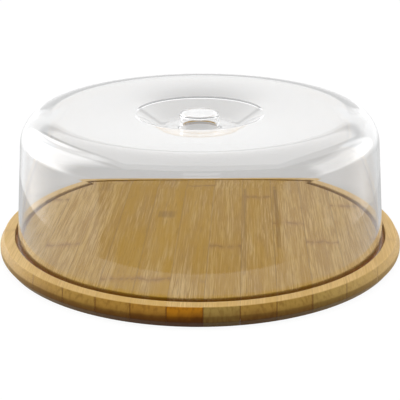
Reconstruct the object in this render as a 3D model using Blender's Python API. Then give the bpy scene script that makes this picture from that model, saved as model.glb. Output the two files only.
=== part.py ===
"""Cake stand with a lift-off dome: a round bamboo board and a clear moulded cover.

The board is glued up from bamboo staves and turned to a disc with a ring groove near its edge.
The cover is one thin shell. Its foot stands in the groove, and its top is sunk round a knob.
The origin is at the middle of the board's underside, +Z is up and -Y faces the viewer.
"""

import math

import bpy

# Driving dimensions, in metres.
BOARD_RADIUS = 0.175
BOARD_THICKNESS = 0.017

# The side bulges: it is widest along an upright band half-way up, and its upper edge is crisp.
SIDE_TOP_HEIGHT = 0.0105
SIDE_FOOT_HEIGHT = 0.0060
SIDE_ROUND = 0.003
UPPER_EDGE_RADIUS = 0.1715
UPPER_EDGE_ROUND = 0.0012
UNDER_EDGE_RADIUS = 0.1705
UNDER_EDGE_ROUND = 0.002

GROOVE_INNER_RADIUS = 0.155
GROOVE_WIDTH = 0.007
GROOVE_DEPTH = 0.0045
GROOVE_LIP_ROUND = 0.0008
GROOVE_FLOOR_ROUND = 0.0014

STAVE_COUNT = 13
STAVE_WIDTH = 0.0274
FIRST_JOINT_X = -0.1548
TOUCH_GAP = 0.0003

# Heights are above the board's underside. The top's line and the wall's line would meet at the
# shoulder's corner, which the shoulder's rounding takes off.
COVER_FOOT_RADIUS = 0.160
COVER_WALL = 0.0025
COVER_CEILING = 0.0028
COVER_DRAFT = math.tan(math.radians(4.6))
SHOULDER_CORNER_HEIGHT = 0.1248
SHOULDER_ROUND = 0.026

# Inside, the shoulder is a rounded bevel from under the top to the wall.
BEVEL_TOP_RADIUS = 0.1322
BEVEL_TOP_ROUND = 0.026
BEVEL_FOOT_HEIGHT = 0.1096
BEVEL_FOOT_ROUND = 0.0205

RECESS_RIM_RADIUS = 0.0545
RECESS_RIM_HEIGHT = 0.1200
RECESS_RIM_ROUND = 0.004
RECESS_FLOOR_RADIUS = 0.034
RECESS_FLOOR_HEIGHT = 0.1070
RECESS_BOWL_ROUND = 0.014

KNOB_TOP_RADIUS = 0.0171
KNOB_BASE_RADIUS = 0.0174
KNOB_TOP_HEIGHT = 0.1195
KNOB_TOP_ROUND = 0.0012
KNOB_BASE_ROUND = 0.002
KNOB_WALL = 0.0018

# The under side of the knob, the recess and its rim.
UNDER_KNOB_ROUND = 0.004
UNDER_RECESS_RADIUS = 0.0346
UNDER_RIM_RADIUS = 0.055
UNDER_RIM_ROUND = 0.004

# How finely the round shapes are divided.
BOARD_SEGMENTS = 96
COVER_SEGMENTS = 72
ARC_STEP = math.radians(24)
SHARP_ANGLE = math.radians(40)
MERGE_DISTANCE = 0.00001

BAMBOO_TONES = {
    "bamboo_pale": (0.66, 0.45, 0.22),
    "bamboo_honey": (0.58, 0.36, 0.15),
    "bamboo_toasted": (0.47, 0.27, 0.09),
}
STAVE_TONES = (
    "bamboo_pale", "bamboo_honey", "bamboo_pale", "bamboo_honey", "bamboo_honey",
    "bamboo_toasted", "bamboo_honey", "bamboo_pale", "bamboo_toasted", "bamboo_pale",
    "bamboo_honey", "bamboo_pale", "bamboo_honey",
)
CLEAR_PLASTIC = (0.93, 0.95, 0.96)


def clear_scene():
    for thing in list(bpy.data.objects):
        bpy.data.objects.remove(thing, do_unlink=True)


def principled(name, colour, roughness, alpha=1.0):
    material = bpy.data.materials.new(name)
    material.use_nodes = True
    shader = material.node_tree.nodes["Principled BSDF"]
    shader.inputs["Base Color"].default_value = (*colour, 1.0)
    shader.inputs["Roughness"].default_value = roughness
    shader.inputs["Metallic"].default_value = 0.0
    shader.inputs["Alpha"].default_value = alpha
    return material


def rounded_path(corners):
    """Points (radius, height) along straight runs through corners (radius, height, rounding)."""
    points = [corners[0][:2]]
    for before, corner, after in zip(corners, corners[1:], corners[2:]):
        heading_in = math.atan2(corner[1] - before[1], corner[0] - before[0])
        heading_out = math.atan2(after[1] - corner[1], after[0] - corner[0])
        turn = math.remainder(heading_out - heading_in, math.tau)
        rounding = corner[2]
        reach = rounding * math.tan(abs(turn) / 2)
        side = math.copysign(1.0, turn)
        start_x = corner[0] - reach * math.cos(heading_in)
        start_z = corner[1] - reach * math.sin(heading_in)
        centre_x = start_x - side * rounding * math.sin(heading_in)
        centre_z = start_z + side * rounding * math.cos(heading_in)
        steps = max(1, math.ceil(abs(turn) / ARC_STEP))
        for step in range(steps + 1):
            heading = heading_in + turn * step / steps
            points.append((
                centre_x + side * rounding * math.sin(heading),
                centre_z - side * rounding * math.cos(heading),
            ))
    points.append(corners[-1][:2])
    return points


def turned(name, profile, segments):
    """A solid of revolution about Z. The profile starts and ends on the axis, outer side first."""
    mesh = bpy.data.meshes.new(name)
    vertices = [(radius, 0.0, height) for radius, height in profile]
    edges = [(index, index + 1) for index in range(len(profile) - 1)]
    mesh.from_pydata(vertices, edges, [])
    body = bpy.data.objects.new(name, mesh)
    bpy.context.scene.collection.objects.link(body)
    screw = body.modifiers.new("turn", "SCREW")
    screw.axis = "Z"
    screw.steps = segments
    screw.render_steps = segments
    screw.use_merge_vertices = True
    screw.merge_threshold = MERGE_DISTANCE
    screw.use_smooth_shade = True
    return body


def strip_box(name, low_x, high_x):
    """The planed strip that one stave is cut from, taller and longer than the board."""
    reach = BOARD_RADIUS * 1.2
    faces = [(0, 3, 2, 1), (4, 5, 6, 7), (0, 1, 5, 4), (1, 2, 6, 5), (2, 3, 7, 6), (3, 0, 4, 7)]
    corners = [
        (x, y, z)
        for z in (-BOARD_THICKNESS, 2 * BOARD_THICKNESS)
        for x, y in ((low_x, -reach), (high_x, -reach), (high_x, reach), (low_x, reach))
    ]
    mesh = bpy.data.meshes.new(name)
    mesh.from_pydata(corners, [], faces)
    box = bpy.data.objects.new(name, mesh)
    bpy.context.scene.collection.objects.link(box)
    box.hide_render = True
    box.display_type = "WIRE"
    return box


def freeze(body):
    """Keep the shape that the modifiers make, shaded smooth between its sharp edges."""
    graph = bpy.context.evaluated_depsgraph_get()
    mesh = bpy.data.meshes.new_from_object(body.evaluated_get(graph))
    body.modifiers.clear()
    body.data = mesh
    mesh.name = body.name
    mesh.shade_smooth()
    mesh.set_sharp_from_angle(angle=SHARP_ANGLE)


def board_profile():
    groove_outer = GROOVE_INNER_RADIUS + GROOVE_WIDTH
    groove_floor = BOARD_THICKNESS - GROOVE_DEPTH
    return rounded_path([
        (0.0, BOARD_THICKNESS, 0.0),
        (GROOVE_INNER_RADIUS, BOARD_THICKNESS, GROOVE_LIP_ROUND),
        (GROOVE_INNER_RADIUS, groove_floor, GROOVE_FLOOR_ROUND),
        (groove_outer, groove_floor, GROOVE_FLOOR_ROUND),
        (groove_outer, BOARD_THICKNESS, GROOVE_LIP_ROUND),
        (UPPER_EDGE_RADIUS, BOARD_THICKNESS, UPPER_EDGE_ROUND),
        (BOARD_RADIUS, SIDE_TOP_HEIGHT, SIDE_ROUND),
        (BOARD_RADIUS, SIDE_FOOT_HEIGHT, SIDE_ROUND),
        (UNDER_EDGE_RADIUS, 0.0, UNDER_EDGE_ROUND),
        (0.0, 0.0, 0.0),
    ])


def stave_edges():
    """Low and high x of each stave. The two end staves run past the board's rim."""
    joints = [FIRST_JOINT_X + STAVE_WIDTH * index for index in range(STAVE_COUNT - 1)]
    lows = [-1.1 * BOARD_RADIUS] + [joint + TOUCH_GAP / 2 for joint in joints]
    highs = [joint - TOUCH_GAP / 2 for joint in joints] + [1.1 * BOARD_RADIUS]
    return zip(lows, highs)


def make_board(materials, frame):
    profile = board_profile()
    for number, (low_x, high_x) in enumerate(stave_edges(), start=1):
        stave = turned(f"board_stave_{number:02d}", profile, BOARD_SEGMENTS)
        box = strip_box(f"strip_{number:02d}", low_x, high_x)
        cut = stave.modifiers.new("strip", "BOOLEAN")
        cut.operation = "INTERSECT"
        cut.solver = "EXACT"
        cut.object = box
        freeze(stave)
        bpy.data.objects.remove(box, do_unlink=True)
        stave.data.materials.clear()
        stave.data.materials.append(materials[STAVE_TONES[number - 1]])
        stave.parent = frame


def cover_profile(foot_height):
    """The cover's outer side from the knob to the foot, and back up its inner side."""
    shoulder_radius = COVER_FOOT_RADIUS - COVER_DRAFT * (SHOULDER_CORNER_HEIGHT - foot_height)
    outer = rounded_path([
        (0.0, KNOB_TOP_HEIGHT, 0.0),
        (KNOB_TOP_RADIUS, KNOB_TOP_HEIGHT, KNOB_TOP_ROUND),
        (KNOB_BASE_RADIUS, RECESS_FLOOR_HEIGHT, KNOB_BASE_ROUND),
        (RECESS_FLOOR_RADIUS, RECESS_FLOOR_HEIGHT, RECESS_BOWL_ROUND),
        (RECESS_RIM_RADIUS, RECESS_RIM_HEIGHT, RECESS_RIM_ROUND),
        (shoulder_radius, SHOULDER_CORNER_HEIGHT, SHOULDER_ROUND),
        (COVER_FOOT_RADIUS, foot_height, 0.0),
    ])
    top_rise = (SHOULDER_CORNER_HEIGHT - RECESS_RIM_HEIGHT) / (shoulder_radius - RECESS_RIM_RADIUS)
    outside_at_bevel = SHOULDER_CORNER_HEIGHT - top_rise * (shoulder_radius - BEVEL_TOP_RADIUS)
    inner_foot_radius = COVER_FOOT_RADIUS - COVER_WALL
    bevel_foot_radius = inner_foot_radius - COVER_DRAFT * (BEVEL_FOOT_HEIGHT - foot_height)
    under_knob_height = KNOB_TOP_HEIGHT - KNOB_WALL
    under_recess_height = RECESS_FLOOR_HEIGHT - COVER_WALL
    inner = rounded_path([
        (0.0, under_knob_height, 0.0),
        (KNOB_TOP_RADIUS - KNOB_WALL, under_knob_height, KNOB_TOP_ROUND),
        (KNOB_BASE_RADIUS - KNOB_WALL, under_recess_height, UNDER_KNOB_ROUND),
        (UNDER_RECESS_RADIUS, under_recess_height, RECESS_BOWL_ROUND + COVER_WALL),
        (UNDER_RIM_RADIUS, RECESS_RIM_HEIGHT - COVER_CEILING, UNDER_RIM_ROUND),
        (BEVEL_TOP_RADIUS, outside_at_bevel - COVER_CEILING, BEVEL_TOP_ROUND),
        (bevel_foot_radius, BEVEL_FOOT_HEIGHT, BEVEL_FOOT_ROUND),
        (inner_foot_radius, foot_height, 0.0),
    ])
    section = outer + inner[::-1]
    return [(radius, height - foot_height) for radius, height in section]


def make_cover(material, frame):
    """The one-piece cover, measured up from its foot, on an empty that slides up its axis."""
    foot_height = BOARD_THICKNESS - GROOVE_DEPTH + TOUCH_GAP
    lift = bpy.data.objects.new("cover_lift_axis", None)
    bpy.context.scene.collection.objects.link(lift)
    lift.parent = frame
    lift.location.z = foot_height
    dome = turned("dome", cover_profile(foot_height), COVER_SEGMENTS)
    freeze(dome)
    dome.data.materials.clear()
    dome.data.materials.append(material)
    dome.parent = lift


def main():
    clear_scene()
    frame = bpy.data.objects.new("cake_stand", None)
    bpy.context.scene.collection.objects.link(frame)
    bamboo = {name: principled(name, colour, 0.45) for name, colour in BAMBOO_TONES.items()}
    make_board(bamboo, frame)
    make_cover(principled("clear_plastic", CLEAR_PLASTIC, 0.06, alpha=0.3), frame)


main()
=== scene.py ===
"""Looks for the cake stand: bamboo staves with grain, knuckles and glue lines, and a clear cover.

The pieces are turned from the same sections as the CAD, more finely divided. Around them are a
white table, lamps that light the wood, and a world that holds the studio the cover mirrors.
"""

import math

import bmesh
import bpy
from mathutils import Matrix, Vector


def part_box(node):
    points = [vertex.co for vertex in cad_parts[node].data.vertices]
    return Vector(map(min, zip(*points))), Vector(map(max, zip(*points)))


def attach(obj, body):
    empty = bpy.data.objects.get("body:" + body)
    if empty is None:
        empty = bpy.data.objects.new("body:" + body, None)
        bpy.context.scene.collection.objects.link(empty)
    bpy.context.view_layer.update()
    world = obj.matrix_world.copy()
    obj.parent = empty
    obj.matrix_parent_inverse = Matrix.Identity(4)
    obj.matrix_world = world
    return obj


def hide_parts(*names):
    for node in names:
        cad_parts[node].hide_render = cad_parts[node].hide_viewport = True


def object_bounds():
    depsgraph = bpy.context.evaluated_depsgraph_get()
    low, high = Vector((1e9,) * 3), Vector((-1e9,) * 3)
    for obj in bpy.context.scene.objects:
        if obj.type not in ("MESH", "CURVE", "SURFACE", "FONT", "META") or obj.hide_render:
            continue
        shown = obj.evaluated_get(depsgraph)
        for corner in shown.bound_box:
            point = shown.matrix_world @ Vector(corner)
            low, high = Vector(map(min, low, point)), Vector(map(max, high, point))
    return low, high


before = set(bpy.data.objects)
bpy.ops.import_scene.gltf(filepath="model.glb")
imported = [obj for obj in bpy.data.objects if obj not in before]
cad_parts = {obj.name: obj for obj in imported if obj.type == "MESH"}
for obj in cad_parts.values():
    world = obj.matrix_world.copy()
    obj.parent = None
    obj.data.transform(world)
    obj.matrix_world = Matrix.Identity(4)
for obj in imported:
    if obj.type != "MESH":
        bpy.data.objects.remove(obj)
cad_low, cad_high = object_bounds()

# The board, in metres. Its radius and its top are read from the frame.
STAVE_COUNT = 13
STAVES = [f"board_stave_{number:02d}" for number in range(1, STAVE_COUNT + 1)]
MIDDLE_STAVE = STAVES[STAVE_COUNT // 2]
BOARD_RADIUS = cad_high.x
BOARD_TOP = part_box(MIDDLE_STAVE)[1].z

# The side bulges: it is widest along an upright band half-way up, and its upper edge is crisp.
SIDE_TOP_HEIGHT = 0.0105
SIDE_FOOT_HEIGHT = 0.0060
SIDE_ROUND = 0.003
UPPER_EDGE_RADIUS = 0.1715
UPPER_EDGE_ROUND = 0.0012
UNDER_EDGE_RADIUS = 0.1705
UNDER_EDGE_ROUND = 0.002

GROOVE_INNER_RADIUS = 0.155
GROOVE_OUTER_RADIUS = 0.162
GROOVE_DEPTH = 0.0045
GROOVE_LIP_ROUND = 0.0008
GROOVE_FLOOR_ROUND = 0.0014

# The CAD keeps this gap between two staves. Here only a hairline of it is left.
GLUE_GAP = 0.0003
HAIRLINE = 0.00008

# The cover: its foot is read from the frame, and the rest of its section is as in the CAD.
COVER_LOW, COVER_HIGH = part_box("dome")
COVER_FOOT_HEIGHT = COVER_LOW.z
COVER_FOOT_RADIUS = COVER_HIGH.x
COVER_WALL = 0.0025
COVER_CEILING = 0.0028
COVER_DRAFT = math.tan(math.radians(4.6))
SHOULDER_CORNER_HEIGHT = 0.1248
SHOULDER_ROUND = 0.026

# Inside, the shoulder is a rounded bevel from under the top to the wall.
BEVEL_TOP_RADIUS = 0.1322
BEVEL_TOP_ROUND = 0.026
BEVEL_FOOT_HEIGHT = 0.1096
BEVEL_FOOT_ROUND = 0.0205

RECESS_RIM_RADIUS = 0.0545
RECESS_RIM_HEIGHT = 0.1200
RECESS_RIM_ROUND = 0.004
RECESS_FLOOR_RADIUS = 0.034
RECESS_FLOOR_HEIGHT = 0.1070
RECESS_BOWL_ROUND = 0.014

KNOB_TOP_RADIUS = 0.0171
KNOB_BASE_RADIUS = 0.0174
KNOB_TOP_HEIGHT = 0.1195
KNOB_TOP_ROUND = 0.0012
KNOB_BASE_ROUND = 0.002
KNOB_WALL = 0.0018

UNDER_KNOB_ROUND = 0.004
UNDER_RECESS_RADIUS = 0.0346
UNDER_RIM_RADIUS = 0.055
UNDER_RIM_ROUND = 0.004

# The table is a round sheet. Its top lies just under the board, so that the two don't touch.
TABLE_RADIUS = 0.31
TABLE_TOP = -0.0002
TABLE_FOOT = -0.02

# How finely the round shapes are divided.
BOARD_SEGMENTS = 288
COVER_SEGMENTS = 288
TABLE_SEGMENTS = 128
ARC_STEP = math.radians(3)
SHARP_ANGLE = math.radians(35)

# A radius or a distance under this counts as none.
NEARLY_ZERO = 1e-7


# ---------------------------------------------------------------- shapes

def rounded_path(corners):
    """Points (radius, height) along straight runs through corners (radius, height, rounding)."""
    points = [corners[0][:2]]
    for before, corner, after in zip(corners, corners[1:], corners[2:]):
        heading_in = math.atan2(corner[1] - before[1], corner[0] - before[0])
        heading_out = math.atan2(after[1] - corner[1], after[0] - corner[0])
        turn = math.remainder(heading_out - heading_in, math.tau)
        rounding = corner[2]
        reach = rounding * math.tan(abs(turn) / 2)
        side = math.copysign(1.0, turn)
        start_x = corner[0] - reach * math.cos(heading_in)
        start_z = corner[1] - reach * math.sin(heading_in)
        centre_x = start_x - side * rounding * math.sin(heading_in)
        centre_z = start_z + side * rounding * math.cos(heading_in)
        steps = max(1, math.ceil(abs(turn) / ARC_STEP))
        for step in range(steps + 1):
            heading = heading_in + turn * step / steps
            points.append((
                centre_x + side * rounding * math.sin(heading),
                centre_z - side * rounding * math.cos(heading),
            ))
    points.append(corners[-1][:2])
    return points


def turned(profile, segments):
    """A bmesh turned about Z from a profile that starts and ends on the axis, outer side first."""
    mesh = bmesh.new()
    rings = []
    for radius, height in profile:
        if radius < NEARLY_ZERO:
            rings.append([mesh.verts.new((0.0, 0.0, height))] * segments)
            continue
        rings.append([
            mesh.verts.new((
                radius * math.cos(math.tau * step / segments),
                radius * math.sin(math.tau * step / segments),
                height,
            ))
            for step in range(segments)
        ])
    for upper, lower in zip(rings, rings[1:]):
        for step in range(segments):
            following = (step + 1) % segments
            corners = [upper[step], lower[step], lower[following], upper[following]]
            distinct = list(dict.fromkeys(corners))
            if len(distinct) > 2:
                mesh.faces.new(distinct)
    return mesh


def cut_at_x(mesh, x, keep_above):
    """Cut the mesh on the plane at x, drop one side and close the cut with a flat face."""
    cut = bmesh.ops.bisect_plane(
        mesh,
        geom=mesh.verts[:] + mesh.edges[:] + mesh.faces[:],
        dist=NEARLY_ZERO,
        plane_co=(x, 0, 0),
        plane_no=(1, 0, 0),
        clear_inner=keep_above,
        clear_outer=not keep_above,
    )
    border = [piece for piece in cut["geom_cut"] if isinstance(piece, bmesh.types.BMEdge)]
    bmesh.ops.edgenet_fill(mesh, edges=border)


def as_object(mesh, name):
    """The bmesh as an object in the scene, shaded smooth between its sharp edges."""
    bmesh.ops.recalc_face_normals(mesh, faces=mesh.faces[:])
    data = bpy.data.meshes.new(name)
    mesh.to_mesh(data)
    mesh.free()
    data.shade_smooth()
    data.set_sharp_from_angle(angle=SHARP_ANGLE)
    piece = bpy.data.objects.new(name, data)
    bpy.context.scene.collection.objects.link(piece)
    return piece


def board_profile():
    groove_floor = BOARD_TOP - GROOVE_DEPTH
    return rounded_path([
        (0.0, BOARD_TOP, 0.0),
        (GROOVE_INNER_RADIUS, BOARD_TOP, GROOVE_LIP_ROUND),
        (GROOVE_INNER_RADIUS, groove_floor, GROOVE_FLOOR_ROUND),
        (GROOVE_OUTER_RADIUS, groove_floor, GROOVE_FLOOR_ROUND),
        (GROOVE_OUTER_RADIUS, BOARD_TOP, GROOVE_LIP_ROUND),
        (UPPER_EDGE_RADIUS, BOARD_TOP, UPPER_EDGE_ROUND),
        (BOARD_RADIUS, SIDE_TOP_HEIGHT, SIDE_ROUND),
        (BOARD_RADIUS, SIDE_FOOT_HEIGHT, SIDE_ROUND),
        (UNDER_EDGE_RADIUS, 0.0, UNDER_EDGE_ROUND),
        (0.0, 0.0, 0.0),
    ])


def cover_profile():
    """The cover's outer side from the knob to the foot, and back up its inner side."""
    draft_to_shoulder = COVER_DRAFT * (SHOULDER_CORNER_HEIGHT - COVER_FOOT_HEIGHT)
    shoulder_radius = COVER_FOOT_RADIUS - draft_to_shoulder
    outer = rounded_path([
        (0.0, KNOB_TOP_HEIGHT, 0.0),
        (KNOB_TOP_RADIUS, KNOB_TOP_HEIGHT, KNOB_TOP_ROUND),
        (KNOB_BASE_RADIUS, RECESS_FLOOR_HEIGHT, KNOB_BASE_ROUND),
        (RECESS_FLOOR_RADIUS, RECESS_FLOOR_HEIGHT, RECESS_BOWL_ROUND),
        (RECESS_RIM_RADIUS, RECESS_RIM_HEIGHT, RECESS_RIM_ROUND),
        (shoulder_radius, SHOULDER_CORNER_HEIGHT, SHOULDER_ROUND),
        (COVER_FOOT_RADIUS, COVER_FOOT_HEIGHT, 0.0),
    ])
    top_rise = (SHOULDER_CORNER_HEIGHT - RECESS_RIM_HEIGHT) / (shoulder_radius - RECESS_RIM_RADIUS)
    outside_at_bevel = SHOULDER_CORNER_HEIGHT - top_rise * (shoulder_radius - BEVEL_TOP_RADIUS)
    inner_foot_radius = COVER_FOOT_RADIUS - COVER_WALL
    draft_to_bevel = COVER_DRAFT * (BEVEL_FOOT_HEIGHT - COVER_FOOT_HEIGHT)
    under_knob_height = KNOB_TOP_HEIGHT - KNOB_WALL
    under_recess_height = RECESS_FLOOR_HEIGHT - COVER_WALL
    inner = rounded_path([
        (0.0, under_knob_height, 0.0),
        (KNOB_TOP_RADIUS - KNOB_WALL, under_knob_height, KNOB_TOP_ROUND),
        (KNOB_BASE_RADIUS - KNOB_WALL, under_recess_height, UNDER_KNOB_ROUND),
        (UNDER_RECESS_RADIUS, under_recess_height, RECESS_BOWL_ROUND + COVER_WALL),
        (UNDER_RIM_RADIUS, RECESS_RIM_HEIGHT - COVER_CEILING, UNDER_RIM_ROUND),
        (BEVEL_TOP_RADIUS, outside_at_bevel - COVER_CEILING, BEVEL_TOP_ROUND),
        (inner_foot_radius - draft_to_bevel, BEVEL_FOOT_HEIGHT, BEVEL_FOOT_ROUND),
        (inner_foot_radius, COVER_FOOT_HEIGHT, 0.0),
    ])
    return outer + inner[::-1]


# ---------------------------------------------------------------- node helpers

# Sockets of the Mix node, which has its own pair of inputs for each kind of value.
MIX_SHARE = 0
MIX_NUMBERS = (2, 3)
MIX_COLOURS = (6, 7)
MIXED_NUMBER = 0
MIXED_COLOUR = 2

# Counts of bounces to compare with. They lie between whole numbers.
ONE_BOUNCE = 0.5
TWO_BOUNCES = 1.5


class Tree:
    """Short ways to add nodes to one node tree.

    A named fade holds what ramp takes, (low, high) or (low, high, start, end), and a named swing
    holds (low, high, amount).
    """

    def __init__(self, node_tree):
        self.nodes = node_tree.nodes
        self.links = node_tree.links

    def add(self, kind, **settings):
        node = self.nodes.new(kind)
        for name, value in settings.items():
            setattr(node, name, value)
        return node

    def feed(self, socket, value):
        """Link an output to the socket, or set the socket to a plain value."""
        if isinstance(value, bpy.types.NodeSocket):
            self.links.new(value, socket)
        else:
            socket.default_value = value

    def math(self, operation, *values):
        node = self.add("ShaderNodeMath", operation=operation)
        for socket, value in zip(node.inputs, values):
            self.feed(socket, value)
        return node.outputs[0]

    def total(self, first, *others):
        for other in others:
            first = self.math("ADD", first, other)
        return first

    def product(self, first, *others):
        for other in others:
            first = self.math("MULTIPLY", first, other)
        return first

    def from_axis(self, x, y):
        """How far a place is from the Z axis."""
        return self.math("SQRT", self.total(self.product(x, x), self.product(y, y)))

    def ramp(self, value, low, high, start=0.0, end=1.0):
        """value taken smoothly from start at low to end at high."""
        node = self.add("ShaderNodeMapRange", interpolation_type="SMOOTHSTEP")
        for socket, number in zip(node.inputs, (value, low, high, start, end)):
            self.feed(socket, number)
        return node.outputs[0]

    def swing(self, value, low, high, amount):
        """value taken smoothly from -amount at low to amount at high."""
        return self.ramp(value, low, high, -amount, amount)

    def between(self, value, low, high, edge):
        """One between low and high, with soft edges."""
        rise = self.ramp(value, low - edge, low + edge)
        fall = self.ramp(value, high - edge, high + edge, 1.0, 0.0)
        return self.product(rise, fall)

    def degrees_between(self, angle, low, high, edge):
        """The same for an angle, with its limits in degrees."""
        return self.between(angle, math.radians(low), math.radians(high), math.radians(edge))

    def split(self, vector):
        """The X, Y and Z of a vector."""
        node = self.add("ShaderNodeSeparateXYZ")
        self.feed(node.inputs[0], vector)
        return node.outputs

    def noise(self, vector, scale, detail, roughness):
        """Noise of a vector that is first stretched by scale (x, y, z)."""
        stretch = self.add("ShaderNodeMapping")
        self.feed(stretch.inputs["Vector"], vector)
        stretch.inputs["Scale"].default_value = scale
        noise = self.add("ShaderNodeTexNoise")
        self.feed(noise.inputs["Vector"], stretch.outputs[0])
        noise.inputs["Scale"].default_value = 1.0
        noise.inputs["Detail"].default_value = detail
        noise.inputs["Roughness"].default_value = roughness
        return noise.outputs["Fac"]

    def mix(self, share, first, second):
        """The colour first, mixed towards second by share."""
        node = self.add("ShaderNodeMix", data_type="RGBA")
        self.feed(node.inputs[MIX_SHARE], share)
        for index, colour in zip(MIX_COLOURS, (first, second)):
            self.feed(node.inputs[index], colour)
        return node.outputs[MIXED_COLOUR]

    def after(self, depth, level, beyond):
        """level, or beyond for a ray that has had at least one bounce of the named kind."""
        path = self.add("ShaderNodeLightPath")
        node = self.add("ShaderNodeMix")
        share = self.math("GREATER_THAN", path.outputs[depth], ONE_BOUNCE)
        self.feed(node.inputs[MIX_SHARE], share)
        for index, number in zip(MIX_NUMBERS, (level, beyond)):
            self.feed(node.inputs[index], number)
        return node.outputs[MIXED_NUMBER]

    def level(self, seen, through, mirrored, lighting):
        """A brightness for each kind of ray: straight, through the cover, mirrored or diffuse."""
        level = self.after("Transmission Depth", seen, through)
        level = self.after("Glossy Depth", level, mirrored)
        return self.after("Diffuse Depth", level, lighting)


# ---------------------------------------------------------------- bamboo

# Colours are red, green, blue and alpha, in linear light.
WHITE = (1.0, 1.0, 1.0, 1.0)
BAMBOO_PALE = (0.66, 0.445, 0.175, 1.0)
BAMBOO_DARK = (0.41, 0.225, 0.035, 1.0)
BAMBOO_AMBER = (0.47, 0.255, 0.010, 1.0)
BAMBOO_FLECK = (0.25, 0.125, 0.02, 1.0)
BAMBOO_KNUCKLE = (0.35, 0.17, 0.035, 1.0)
BAMBOO_GLUE = (0.22, 0.11, 0.02, 1.0)
# A painted sheen for the rim outside the cover, and for the groove partly its darker cut wood and
# partly painted shade.
BAMBOO_RIM_SHEEN = (0.86, 0.60, 0.27, 1.0)
GROOVE_WOOD_AND_SHADE = (0.21, 0.045, 0.001, 1.0)
END_GRAIN_PALE = (0.43, 0.28, 0.065, 1.0)
END_GRAIN_DARK = (0.54, 0.21, 0.003, 1.0)
# The dark of the pores and glue lines, which also serves as painted shade on the lower side.
END_GRAIN_PORE_AND_SHADE = (0.13, 0.036, 0.001, 1.0)

# For each stave: how light its face is, how yellow, how pale its end, where its knuckles lie
# along Y, and its marks as (low X, high X, low Y, high Y, strength). Lengths are in metres.
STAVE_LOOKS = [
    (0.55, 0.20, 0.75, (-0.020,), ()),
    (0.62, 0.20, 0.75, (0.061,), ()),
    (0.52, 0.25, 0.75, (-0.051,), ()),
    (0.44, 0.40, 0.75, (0.128,), ((-0.100, -0.089, 0.090, 0.112, 0.45),)),
    (0.34, 0.75, 0.65, (-0.121,), ()),
    (0.32, 0.85, 0.45, (-0.119,), ((-0.0390, -0.0235, 0.018, 0.034, 0.75),)),
    (0.42, 0.72, 0.00, (0.118,), ((0.005, 0.0095, -0.1255, -0.1220, 0.6),)),
    (0.44, 0.50, 1.00, (-0.050,), ()),
    (0.38, 0.60, 0.75, (0.077,), ((0.0385, 0.0412, -0.110, 0.095, 0.6),)),
    (0.32, 0.40, 0.85, (0.006,), ((0.0670, 0.0703, -0.052, 0.100, 0.9),)),
    (0.44, 0.25, 1.00, (-0.038,), ()),
    (0.42, 0.20, 1.00, (0.052,), ()),
    (0.30, 0.20, 1.00, (-0.030,), ()),
]

# The wood's noises: cycles per metre along X, Y and Z, detail and roughness. The fibres run along
# Y, so most of them are stretched that way. Each stave is shifted to a place of its own in them.
WOOD_NOISES = {
    "bands": ((60, 5, 60), 2.0, 0.6),
    "streaks": ((290, 6, 290), 2.0, 0.6),
    "fibres": ((900, 14, 900), 1.5, 0.6),
    "threads": ((1700, 40, 1700), 1.0, 0.5),
    "amber": ((70, 7, 70), 3.0, 0.5),
    "flecks": ((1000, 45, 1000), 1.0, 0.5),
    "wander": ((70, 3, 70), 3.0, 0.5),
    "patches": ((240, 60, 240), 2.0, 0.5),
    "pores": ((420, 420, 160), 2.0, 0.5),
}
NOISE_MIDDLE = 0.5
NOISE_SHIFT = (0.31, 0.73, 0.17)

# The noises that move the face's tone: the noise values they act between, and how far they move
# it. The tone runs from 0, dark, to 1, pale.
TONE_SWINGS = {
    "bands": (0.3, 0.7, 0.20),
    "streaks": (0.35, 0.65, 0.09),
    "fibres": (0.44, 0.56, 0.21),
    "threads": (0.44, 0.56, 0.20),
}
AMBER_FADE = (0.36, 0.60)
FLECK_FADE = (0.62, 0.74, 0.0, 0.45)

# A mark has soft edges and is broken up a little by the streaks.
MARK_SIDE_EDGE = 0.0006
MARK_END_EDGE = 0.004
MARK_STREAK_FADE = (0.25, 0.6, 1.0, 0.55)

# A knuckle wanders along Y by its noise. It is a fine dented line in a soft halo, both patchy.
KNUCKLE_WANDER = 0.016
KNUCKLE_PATCH_FADE = (0.35, 0.6, 0.25, 1.0)
KNUCKLE_HALO_FADE = (0.0, 0.010, 0.6, 0.0)
KNUCKLE_LINE_FADE = (0.0002, 0.0030, 0.45, 0.0)
KNUCKLE_DENT = 0.8

# Glue darkens a stave near its two sides. At the board's outer edge there is no glue: the line
# is put this far away.
GLUE_FADE = (0.0, 0.0008, 0.32, 0.0)
GLUE_FADE_AT_END = (0.0, 0.0008, 0.7, 0.0)
GLUE_FAR_AWAY = 1.0

# The rim outside the groove is painted paler, a painted sheen. The groove has painted shade, most
# of all at the front, on top of its darker cut wood.
RIM_SHEEN_FADE = (GROOVE_OUTER_RADIUS, 0.163, 0.0, 0.42)
GROOVE_EDGE = 0.0004
GROOVE_DEPTH_FADE = (BOARD_TOP - 0.0022, BOARD_TOP - 0.0003, 1.0, 0.0)
GROOVE_SHADE_FADE = (-0.13, 0.02, 0.94, 0.55)

# The fibres' ends have darker pores, and painted shade on their lower part whose upper limit is
# uneven. They show out on the rim, where it is upright and faces along Y. The shares of painted
# shade are for dark and pale ends.
PORE_FADE = (0.40, 0.70, 0.0, 0.35)
BAND_HEIGHT_SWING = (0.3, 0.7, 0.0012)
PORE_HEIGHT_SWING = (0.3, 0.7, 0.0006)
END_SHADE_HEIGHTS = (0.0070, 0.0145)
END_SHADE_SHARE = 0.95
END_SHADE_SHARE_PALE = 0.50
END_UPRIGHT_FADE = (0.86, 0.98, 1.0, 0.0)
END_FACING_FADE = (0.15, 0.85)
END_RIM_FADE = (0.1670, 0.1700)

WOOD_ROUGHNESS_FADE = (0.2, 0.8, 0.40, 0.52)
WOOD_SPECULAR = 0.2
FIBRE_BUMP = 0.7
THREAD_BUMP = 0.3
BUMP_STRENGTH = 0.2
BUMP_HEIGHT = 0.0002


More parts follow.
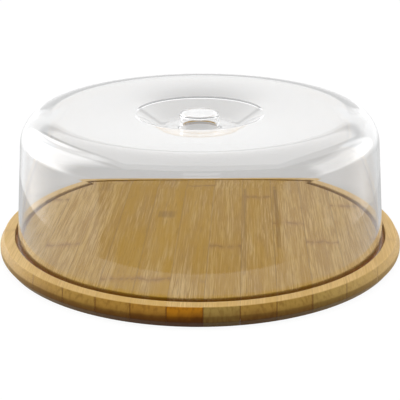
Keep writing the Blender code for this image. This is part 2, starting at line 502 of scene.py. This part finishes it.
class Wood(Tree):
    """The nodes of one stave: where a point lies, the wood's noises, and the look step by step."""

    def __init__(self, node_tree, low_x, high_x, number):
        super().__init__(node_tree)
        place = self.add("ShaderNodeTexCoord").outputs["Object"]
        shift = self.add("ShaderNodeMapping")
        self.feed(shift.inputs["Vector"], place)
        shift.inputs["Location"].default_value = [part * number for part in NOISE_SHIFT]
        local = shift.outputs[0]
        self.noises = {kind: self.noise(local, *row) for kind, row in WOOD_NOISES.items()}
        self.x, self.y, self.z = self.split(place)
        self.radius = self.from_axis(self.x, self.y)
        self.to_side = self.math(
            "MINIMUM",
            self.math("SUBTRACT", self.x, low_x),
            self.math("SUBTRACT", high_x, self.x),
        )

    def grain(self, lightness, yellowness):
        """The plain face: dark to pale by the grain, with amber patches and dark flecks."""
        swings = [self.swing(self.noises[kind], *row) for kind, row in TONE_SWINGS.items()]
        tone = self.total(lightness, *swings)
        base = self.mix(self.ramp(tone, 0.0, 1.0), BAMBOO_DARK, BAMBOO_PALE)
        amber = self.ramp(self.noises["amber"], *AMBER_FADE, 0.0, yellowness)
        base = self.mix(amber, base, BAMBOO_AMBER)
        flecks = self.ramp(self.noises["flecks"], *FLECK_FADE)
        return self.mix(flecks, base, BAMBOO_FLECK)

    def with_marks(self, base, marks):
        for low_x, high_x, low_y, high_y, strength in marks:
            mark = self.product(
                self.between(self.x, low_x, high_x, MARK_SIDE_EDGE),
                self.between(self.y, low_y, high_y, MARK_END_EDGE),
                self.ramp(self.noises["streaks"], *MARK_STREAK_FADE),
                strength,
            )
            base = self.mix(mark, base, BAMBOO_FLECK)
        return base

    def with_knuckles(self, base, bump, knuckles):
        """The base and the bump with the cane's knuckles across the fibres."""
        wander = self.math("SUBTRACT", self.noises["wander"], NOISE_MIDDLE)
        waved = self.math("ADD", self.y, self.math("MULTIPLY", wander, KNUCKLE_WANDER))
        patchy = self.ramp(self.noises["patches"], *KNUCKLE_PATCH_FADE)
        for knuckle in knuckles:
            away = self.math("ABSOLUTE", self.math("SUBTRACT", waved, knuckle))
            halo = self.product(self.ramp(away, *KNUCKLE_HALO_FADE), patchy)
            line = self.product(self.ramp(away, *KNUCKLE_LINE_FADE), patchy)
            base = self.mix(halo, base, BAMBOO_KNUCKLE)
            base = self.mix(line, base, BAMBOO_FLECK)
            bump = self.math("SUBTRACT", bump, self.math("MULTIPLY", line, KNUCKLE_DENT))
        return base, bump

    def with_glue(self, base):
        return self.mix(self.ramp(self.to_side, *GLUE_FADE), base, BAMBOO_GLUE)

    def with_rim_sheen_and_groove_shade(self, base):
        # Painted sheen: the rim outside the groove is painted paler.
        base = self.mix(self.ramp(self.radius, *RIM_SHEEN_FADE), base, BAMBOO_RIM_SHEEN)
        # Painted shade: the groove is darkened deep down and most at the front, partly its darker
        # cut wood.
        below_top = self.ramp(self.z, *GROOVE_DEPTH_FADE)
        in_groove = self.between(
            self.radius, GROOVE_INNER_RADIUS, GROOVE_OUTER_RADIUS, GROOVE_EDGE
        )
        front_shade = self.ramp(self.y, *GROOVE_SHADE_FADE)
        return self.mix(self.product(below_top, in_groove, front_shade), base, GROOVE_WOOD_AND_SHADE)

    def with_ends(self, base, paleness):
        """The base with the cut ends of the fibres where the board's side faces along Y, with
        painted shade low down.
        """
        pores = self.noises["pores"]
        ends = self.mix(paleness, END_GRAIN_DARK, END_GRAIN_PALE)
        ends = self.mix(self.ramp(pores, *PORE_FADE), ends, END_GRAIN_PORE_AND_SHADE)
        # Painted shade: the end is darkened towards the bottom, where the side turns under, less on
        # pale ends.
        height = self.total(
            self.z,
            self.swing(self.noises["bands"], *BAND_HEIGHT_SWING),
            self.swing(pores, *PORE_HEIGHT_SWING),
        )
        shade_share = END_SHADE_SHARE - (END_SHADE_SHARE - END_SHADE_SHARE_PALE) * paleness ** 2
        painted_low_shade = self.ramp(height, *END_SHADE_HEIGHTS, shade_share, 0.0)
        ends = self.mix(painted_low_shade, ends, END_GRAIN_PORE_AND_SHADE)
        ends = self.mix(self.ramp(self.to_side, *GLUE_FADE_AT_END), ends, END_GRAIN_PORE_AND_SHADE)
        facing = self.split(self.add("ShaderNodeNewGeometry").outputs["Normal"])
        upright = self.ramp(self.math("ABSOLUTE", facing["Z"]), *END_UPRIGHT_FADE)
        to_end = self.ramp(self.math("ABSOLUTE", facing["Y"]), *END_FACING_FADE)
        on_rim = self.ramp(self.radius, *END_RIM_FADE)
        return self.mix(self.product(upright, to_end, on_rim), base, ends)


def bamboo(name, low_x, high_x, look, number):
    """Oiled bamboo whose fibres run along Y, with knuckle marks and glue lines at its two sides."""
    lightness, yellowness, end_paleness, knuckles, marks = look
    material = bpy.data.materials.new(name)
    material.use_nodes = True
    wood = Wood(material.node_tree, low_x, high_x, number)
    shader = wood.nodes["Principled BSDF"]

    base = wood.grain(lightness, yellowness)
    base = wood.with_marks(base, marks)
    fibre_bump = wood.math("MULTIPLY", wood.noises["fibres"], FIBRE_BUMP)
    thread_bump = wood.math("MULTIPLY", wood.noises["threads"], THREAD_BUMP)
    base, bump_height = wood.with_knuckles(base, wood.total(fibre_bump, thread_bump), knuckles)
    base = wood.with_glue(base)
    base = wood.with_rim_sheen_and_groove_shade(base)
    base = wood.with_ends(base, end_paleness)

    wood.feed(shader.inputs["Base Color"], base)
    roughness = wood.ramp(wood.noises["streaks"], *WOOD_ROUGHNESS_FADE)
    wood.feed(shader.inputs["Roughness"], roughness)
    shader.inputs["Specular IOR Level"].default_value = WOOD_SPECULAR
    bump = wood.add("ShaderNodeBump")
    bump.inputs["Strength"].default_value = BUMP_STRENGTH
    bump.inputs["Distance"].default_value = BUMP_HEIGHT
    wood.feed(bump.inputs["Height"], bump_height)
    wood.feed(shader.inputs["Normal"], bump.outputs[0])
    return material


def make_staves():
    """The staves, each cut out of the whole board's shape and given a look of its own."""
    widening = (GLUE_GAP - HAIRLINE) / 2
    for number, (node, look) in enumerate(zip(STAVES, STAVE_LOOKS), start=1):
        low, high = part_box(node)
        mesh = turned(board_profile(), BOARD_SEGMENTS)
        glue_low = -GLUE_FAR_AWAY
        glue_high = GLUE_FAR_AWAY
        if number > 1:
            glue_low = low.x - widening
            cut_at_x(mesh, glue_low, keep_above=True)
        if number < len(STAVES):
            glue_high = high.x + widening
            cut_at_x(mesh, glue_high, keep_above=False)
        stave = as_object(mesh, f"bamboo_stave_{number:02d}")
        stave.data.materials.append(bamboo(stave.name, glue_low, glue_high, look, number))
        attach(stave, "board")
        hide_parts(node)


# ---------------------------------------------------------------- clear cover

# The glow is for light that is led round inside the wall, whose rays would end black.
PLASTIC_TINT = (0.985, 0.99, 0.995, 1.0)
PLASTIC_IOR = 1.52
PLASTIC_LETS_THROUGH = (0.88, 0.88, 0.88, 1.0)
GUIDED_GLOW = 0.10


def clear_plastic():
    """Clear plastic that lets the lamps and the light of the room through, a little weakened.

    A ray that is led round inside the wall runs out of bounces and would end black, so a ray
    that has been mirrored twice meets a small glow.
    """
    material = bpy.data.materials.new("clear_plastic")
    material.use_nodes = True
    tree = Tree(material.node_tree)
    shader = tree.nodes["Principled BSDF"]
    shader.inputs["Base Color"].default_value = PLASTIC_TINT
    shader.inputs["Transmission Weight"].default_value = 1.0
    shader.inputs["IOR"].default_value = PLASTIC_IOR
    shader.inputs["Roughness"].default_value = 0.0
    path = tree.add("ShaderNodeLightPath")
    guided = tree.math("GREATER_THAN", path.outputs["Glossy Depth"], TWO_BOUNCES)
    shader.inputs["Emission Color"].default_value = WHITE
    tree.feed(shader.inputs["Emission Strength"], tree.product(guided, GUIDED_GLOW))
    surface = shader.outputs[0]
    for ray in ("Is Shadow Ray", "Is Diffuse Ray"):
        clear = tree.add("ShaderNodeBsdfTransparent")
        clear.inputs["Color"].default_value = PLASTIC_LETS_THROUGH
        mixer = tree.add("ShaderNodeMixShader")
        tree.feed(mixer.inputs[0], path.outputs[ray])
        tree.feed(mixer.inputs[1], surface)
        tree.feed(mixer.inputs[2], clear.outputs[0])
        surface = mixer.outputs[0]
    tree.feed(tree.nodes["Material Output"].inputs["Surface"], surface)
    return material


def make_cover():
    cover = as_object(turned(cover_profile(), COVER_SEGMENTS), "clear_cover")
    cover.data.materials.append(clear_plastic())
    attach(cover, "cover")
    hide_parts("dome")


# ---------------------------------------------------------------- studio

# The table's brightness for each kind of ray. Through the cover it has a painted shadow beside
# the board.
TABLE_GREY = (0.09, 0.09, 0.09, 1.0)
TABLE_SEEN = 0.93
TABLE_THROUGH_SHADOW_FADE = (0.190, 0.232, 0.42, 0.55)
TABLE_MIRRORED = 0.5
TABLE_LIGHTING = 0.03

# The world's brightness for each kind of ray. What the cover mirrors is a studio, listed below.
WORLD_SEEN = 1.02
WORLD_THROUGH = 0.64
WORLD_LIGHTING_FADE = (-0.1, 0.9, 0.25, 0.6)
DARK_ROOM = 0.04

# The studio's panels. FRONT is a faint one high up in front with a bright STRIP under it, and
# SIDES is the pale lower part of the room at both sides. A name that ends in _X, _Y or _Z is a
# fade over that part of a direction of length 1, or its (low, high, edge) where the panel lies
# between two limits. Azimuths and elevations are (low, high, edge) in degrees, and azimuth 0 is
# behind the object.
BEHIND_X = (-0.50, 0.56, 0.02)
BEHIND_Y = (-0.13, -0.10)
BACKDROP_Y = (0.15, 0.65)
BACKDROP_FOOT_Z = (-0.20, -0.02, 0.66, 1.25)
BACKDROP_TOP_Z = (0.30, 0.42, 1.0, 0.0)
OVERHEAD_Z = (0.34, 0.48)
OVERHEAD_LEVEL = 1.5
LEFT_AZIMUTH = (-92, -26, 10)
LEFT_ELEVATION = (-4, 56, 6)
LEFT_X = (-0.58, -0.52, 3.6, 0.0)
LEFT_LOW_AZIMUTH = (-80, -30, 10)
LEFT_LOW_Z = (-0.1, 0.0, 0.36, 0.0)
RIGHT_AZIMUTH = (36, 100, 5)
RIGHT_ELEVATION = (0, 34, 4)
RIGHT_X = (0.60, 0.67, 0.0, 2.2)
FRONT_Y = (-0.18, -0.24)
FRONT_ELEVATION = (58, 85, 2)
FRONT_LEVEL = 0.12
STRIP_Y = (0.0, -0.2)
STRIP_ELEVATION = (48, 56, 2)
STRIP_X = (-0.12, 0.2, 0.02)
STRIP_LEVEL = 1.6
SIDES_SLANT = 0.07
SIDES_FRONT_Y = (-0.57, -0.50)
SIDES_BACK_Y = (0.5, 0.7, 1.0, 0.0)
SIDES_Z = (0.0, 0.15, 0.5, 0.0)

# For each lamp: its place, what it aims at, its width, its height and its brightness. The top
# one lights the faces, the side ones the rim, and the front one the board's front edge.
LAMPS = {
    "top_softbox": ((0.0, -0.1, 1.1), (0.0, 0.0, 0.02), 0.9, 0.9, 1.7),
    "left_softbox": ((-1.0, -0.1, 0.40), (0.0, 0.0, 0.02), 0.6, 0.8, 2.0),
    "right_softbox": ((1.0, 0.0, 0.40), (0.0, 0.0, 0.02), 0.6, 0.6, 2.3),
    "front_softbox": ((0.1, -0.9, 0.75), (0.0, -0.17, 0.01), 0.5, 0.4, 1.6),
}

# The camera looks at the point AIM from AZIMUTH to the right of the front and ELEVATION above.
CAMERA_DISTANCE = 0.9613
CAMERA_ELEVATION = math.radians(19.56)
CAMERA_AZIMUTH = math.radians(2.54)
CAMERA_ROLL = math.radians(0.22)
CAMERA_AIM = Vector((0.0, 0.0, 0.0401))
CAMERA_LENS = 98.35
CAMERA_SENSOR = 36.0


def make_floor():
    """A round white table that ends on this side of the camera. The cover mirrors it as a grey."""
    profile = [
        (0.0, TABLE_TOP),
        (TABLE_RADIUS, TABLE_TOP),
        (TABLE_RADIUS, TABLE_FOOT),
        (0.0, TABLE_FOOT),
    ]
    floor = as_object(turned(profile, TABLE_SEGMENTS), "floor")
    material = bpy.data.materials.new("floor_paper")
    material.use_nodes = True
    tree = Tree(material.node_tree)
    shader = tree.nodes["Principled BSDF"]
    shader.inputs["Base Color"].default_value = TABLE_GREY
    shader.inputs["Roughness"].default_value = 1.0
    shader.inputs["Specular IOR Level"].default_value = 0.0
    shader.inputs["Emission Color"].default_value = WHITE
    x, y, _ = tree.split(tree.add("ShaderNodeTexCoord").outputs["Object"])
    # Painted shadow: seen through the cover, the table is darker beside the board.
    through = tree.ramp(tree.from_axis(x, y), *TABLE_THROUGH_SHADOW_FADE)
    level = tree.level(TABLE_SEEN, through, TABLE_MIRRORED, TABLE_LIGHTING)
    tree.feed(shader.inputs["Emission Strength"], level)
    floor.data.materials.append(material)


def studio_panels(tree, x, y, z):
    """What the cover mirrors: white behind and overhead, a panel at each side, dark in front."""
    azimuth = tree.math("ARCTAN2", x, y)
    elevation = tree.math("ARCSINE", z)
    behind = tree.product(tree.between(x, *BEHIND_X), tree.ramp(y, *BEHIND_Y))
    backdrop = tree.product(
        tree.ramp(y, *BACKDROP_Y),
        tree.ramp(z, *BACKDROP_FOOT_Z),
        tree.ramp(z, *BACKDROP_TOP_Z),
    )
    overhead = tree.product(behind, tree.ramp(z, *OVERHEAD_Z), OVERHEAD_LEVEL)
    left = tree.product(
        tree.degrees_between(azimuth, *LEFT_AZIMUTH),
        tree.degrees_between(elevation, *LEFT_ELEVATION),
        tree.ramp(x, *LEFT_X),
    )
    left_low = tree.product(
        tree.degrees_between(azimuth, *LEFT_LOW_AZIMUTH),
        tree.ramp(z, *LEFT_LOW_Z),
    )
    right = tree.product(
        tree.degrees_between(azimuth, *RIGHT_AZIMUTH),
        tree.degrees_between(elevation, *RIGHT_ELEVATION),
        tree.ramp(x, *RIGHT_X),
    )
    front = tree.product(
        tree.ramp(y, *FRONT_Y),
        tree.degrees_between(elevation, *FRONT_ELEVATION),
        FRONT_LEVEL,
    )
    strip = tree.product(
        tree.ramp(y, *STRIP_Y),
        tree.degrees_between(elevation, *STRIP_ELEVATION),
        tree.between(x, *STRIP_X),
        STRIP_LEVEL,
    )
    sides = tree.product(
        tree.ramp(tree.total(y, tree.product(x, SIDES_SLANT)), *SIDES_FRONT_Y),
        tree.ramp(y, *SIDES_BACK_Y),
        tree.ramp(z, *SIDES_Z),
    )
    return tree.total(DARK_ROOM, backdrop, overhead, left, left_low, right, front, strip, sides)


def make_world():
    """White to the camera, grey through the cover, and a studio to the rays it mirrors."""
    world = bpy.data.worlds.new("studio")
    bpy.context.scene.world = world
    world.use_nodes = True
    tree = Tree(world.node_tree)
    x, y, z = tree.split(tree.add("ShaderNodeTexCoord").outputs["Generated"])
    mirrored = studio_panels(tree, x, y, z)
    lighting = tree.ramp(z, *WORLD_LIGHTING_FADE)
    level = tree.level(WORLD_SEEN, WORLD_THROUGH, mirrored, lighting)
    background = tree.nodes["Background"]
    tree.feed(background.inputs["Strength"], level)
    background.inputs["Color"].default_value = WHITE


def softbox(name, place, target, width, height, brightness):
    """A lamp that lights the wood. What the cover mirrors is drawn in the world instead."""
    light = bpy.data.lights.new(name, "AREA")
    light.shape = "RECTANGLE"
    light.size = width
    light.size_y = height
    light.energy = brightness * width * height * math.pi
    lamp = bpy.data.objects.new(name, light)
    lamp.location = place
    aim = Vector(target) - Vector(place)
    lamp.rotation_euler = aim.to_track_quat("-Z", "Y").to_euler()
    lamp.visible_camera = False
    lamp.visible_transmission = False
    lamp.visible_glossy = False
    bpy.context.scene.collection.objects.link(lamp)


def make_camera():
    data = bpy.data.cameras.new("camera")
    data.sensor_width = CAMERA_SENSOR
    data.lens = CAMERA_LENS
    camera = bpy.data.objects.new("camera", data)
    back = Vector((
        math.sin(CAMERA_AZIMUTH) * math.cos(CAMERA_ELEVATION),
        -math.cos(CAMERA_AZIMUTH) * math.cos(CAMERA_ELEVATION),
        math.sin(CAMERA_ELEVATION),
    ))
    turn = (-back).to_track_quat("-Z", "Y").to_matrix().to_4x4()
    roll = Matrix.Rotation(-CAMERA_ROLL, 4, "Z")
    camera.matrix_world = Matrix.Translation(CAMERA_AIM + back * CAMERA_DISTANCE) @ turn @ roll
    bpy.context.scene.collection.objects.link(camera)
    bpy.context.scene.camera = camera


make_camera()
make_staves()
make_cover()
make_floor()
make_world()
for lamp_name, lamp_row in LAMPS.items():
    softbox(lamp_name, *lamp_row)
bpy.context.scene.view_settings.view_transform = "Standard"
